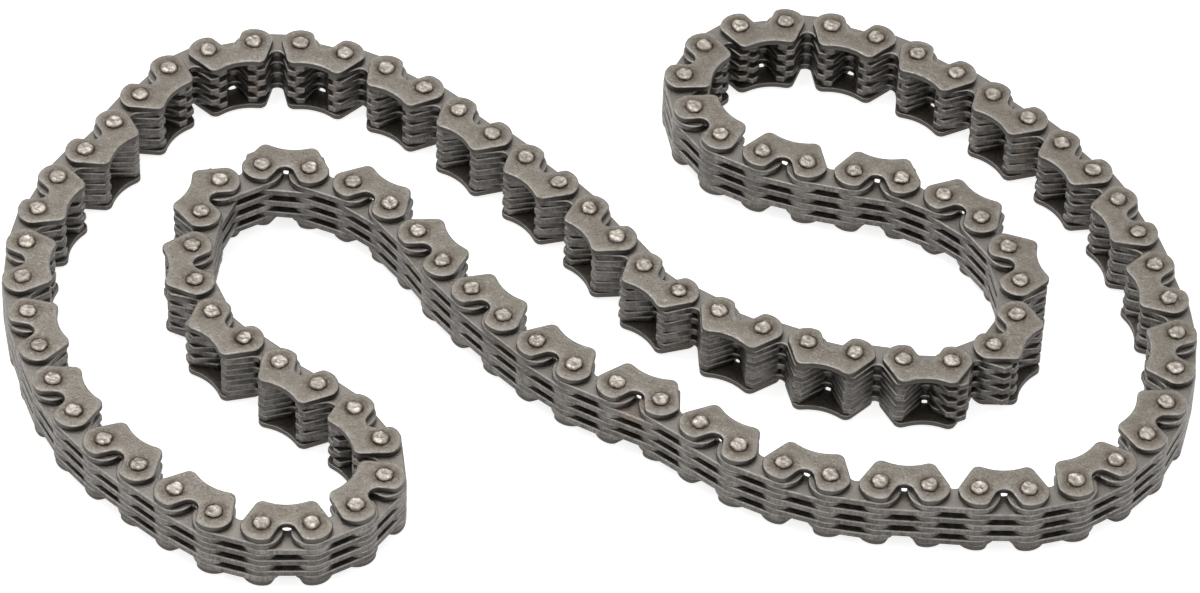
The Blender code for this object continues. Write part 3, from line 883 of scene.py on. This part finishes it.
def add_camera(studio):
    """A long lens at the photograph's angle, with its small roll."""
    data = bpy.data.cameras.new("camera")
    data.lens = studio.lens
    data.sensor_width = SENSOR_WIDTH
    data.clip_start = NEAREST_SEEN
    camera = bpy.data.objects.new("camera", data)
    ahead = Vector((0, math.cos(studio.elevation), -math.sin(studio.elevation)))
    level = Vector((0, math.sin(studio.elevation), math.cos(studio.elevation)))
    right = math.cos(studio.roll) * Vector((1, 0, 0)) + math.sin(studio.roll) * level
    up = right.cross(ahead)
    turn = Matrix((right, up, -ahead)).transposed().to_4x4()
    target = Vector((studio.target_x, studio.target_y, HEAD_TOP))
    camera.matrix_world = Matrix.Translation(target - ahead * studio.distance) @ turn
    bpy.context.scene.collection.objects.link(camera)
    bpy.context.scene.camera = camera


# Operators and panel

class TIMING_OT_guide_plates(bpy.types.Operator):
    """Add the upper and the lower guide plate of every guide link"""

    bl_idname = "timing.guide_plates"
    bl_label = "Guide Plates"

    def execute(self, context):
        sizes = context.scene.chain_sizes
        material = tumbled_plate_steel(context.scene.chain_colours)
        outline = guide_plate_outline(sizes)
        bore = sizes.pin_radius + sizes.bore_fit
        shapes = {}
        for name in GUIDE_LAYERS:
            low, high = (corner.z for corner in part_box(name))
            rims = (sizes.plate_burr, sizes.plate_roll)
            levels = rim_levels(low, high, *rims, PLATE_RIM_STEPS, sizes.plate_fall, sizes.plate_band)
            if name == "guide_plate_lower":
                levels = turned_over(levels, low, high)
            shapes[name] = plate_shape(outline, levels, (bore, bore))
        for pair in range(PAIRS):
            pin = PINS[2 * pair]
            place = link_frame(2 * pair)
            if pair:
                placed = [(shapes[name], place) for name in GUIDE_LAYERS]
                build_piece(f"guide_plates_{pair:02d}", placed, material, pin.body, pin.node)
                continue
            for name in GUIDE_LAYERS:
                placed = [(shapes[name], place)]
                build_piece(f"dressed_{name}", placed, material, pin.body, name)
        return {"FINISHED"}


class TIMING_OT_leaves(bpy.types.Operator):
    """Add the seven toothed leaves of every link pair, three on the guide link and four on the inner link"""

    bl_idname = "timing.leaves"
    bl_label = "Toothed Leaves"

    def execute(self, context):
        sizes = context.scene.chain_sizes
        material = blanked_leaf_steel(context.scene.chain_colours)
        outline = toothed_leaf_outline(sizes)
        bore = sizes.pin_radius + sizes.bore_fit
        shapes, open_shapes = {}, {}
        for name in GUIDE_ROW + INNER_ROW:
            low, high = (corner.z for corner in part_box(name))
            levels = rim_levels(low, high, sizes.leaf_burr, sizes.leaf_roll, LEAF_RIM_STEPS)
            shapes[name] = plate_shape(outline, levels, (bore, bore))
            if name in INNER_ROW:
                open_shapes[name] = plate_shape(outline, levels, (bore, sizes.pin_radius + sizes.open_fit))
        for pair in range(PAIRS):
            pin = PINS[2 * pair]
            guide, inner = link_frame(2 * pair), link_frame(2 * pair + 1)
            placed = [(name, guide) for name in GUIDE_ROW] + [(name, inner) for name in INNER_ROW]
            if pair:
                made = {**shapes, **open_shapes} if parted_after(pair) else shapes
                pack = [(made[name], place) for name, place in placed]
                build_piece(f"toothed_leaves_{pair:02d}", pack, material, pin.body, pin.node)
                continue
            for name, place in placed:
                body = frame["nodes"][name]["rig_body"]
                build_piece(f"dressed_{name}", [(shapes[name], place)], material, body, name)
        return {"FINISHED"}


class TIMING_OT_pins(bpy.types.Operator):
    """Add the riveted pins of every link pair"""

    bl_idname = "timing.pins"
    bl_label = "Riveted Pins"

    def execute(self, context):
        sizes = context.scene.chain_sizes
        material = spun_pin_steel(context.scene.chain_colours)
        for pair in range(PAIRS):
            placed = []
            for number in (2 * pair, 2 * pair + 1):
                at = PINS[number].place
                placed.append((pin_shape(sizes, number), Matrix.Translation((at.x, at.y, 0))))
            pin = PINS[2 * pair]
            if pair:
                name = f"riveted_pins_{pair:02d}"
                build_piece(name, placed, material, pin.body, pin.node, crease=HEAD_CREASE)
                continue
            for number, each in enumerate(placed):
                pin = PINS[number]
                name = f"dressed_{pin.node}"
                build_piece(name, [each], material, pin.body, pin.node, crease=HEAD_CREASE)
        return {"FINISHED"}


class TIMING_OT_studio(bpy.types.Operator):
    """Add the white floor, the soft light and the camera"""

    bl_idname = "timing.studio"
    bl_label = "Studio"

    def execute(self, context):
        studio = context.scene.chain_studio
        add_floor(studio)
        add_dome(studio)
        add_softbox(studio)
        add_camera(studio)
        return {"FINISHED"}


class TIMING_PT_chain(bpy.types.Panel):
    """The chain's sizes, colours and parts"""

    bl_label = "Timing Chain"
    bl_idname = "TIMING_PT_chain"
    bl_space_type = "VIEW_3D"
    bl_region_type = "UI"
    bl_category = "Timing Chain"

    def draw(self, context):
        for group in (context.scene.chain_sizes, context.scene.chain_colours, context.scene.chain_studio):
            column = self.layout.column(align=True)
            for name in group.__annotations__:
                column.prop(group, name)
        for operator in OPERATORS:
            self.layout.operator(operator.bl_idname)


OPERATORS = (TIMING_OT_guide_plates, TIMING_OT_leaves, TIMING_OT_pins, TIMING_OT_studio)
CLASSES = (ChainSizes, ChainColours, ChainStudio, *OPERATORS, TIMING_PT_chain)


def register():
    for each in CLASSES:
        bpy.utils.register_class(each)
    bpy.types.Scene.chain_sizes = PointerProperty(type=ChainSizes)
    bpy.types.Scene.chain_colours = PointerProperty(type=ChainColours)
    bpy.types.Scene.chain_studio = PointerProperty(type=ChainStudio)


def unregister():
    del bpy.types.Scene.chain_studio
    del bpy.types.Scene.chain_colours
    del bpy.types.Scene.chain_sizes
    for each in reversed(CLASSES):
        bpy.utils.unregister_class(each)


def main():
    register()
    bpy.ops.timing.guide_plates()
    bpy.ops.timing.leaves()
    bpy.ops.timing.pins()
    bpy.ops.timing.studio()
    bpy.context.scene.view_settings.view_transform = "Standard"
    bpy.context.view_layer.update()


if __name__ == "__main__":
    main()
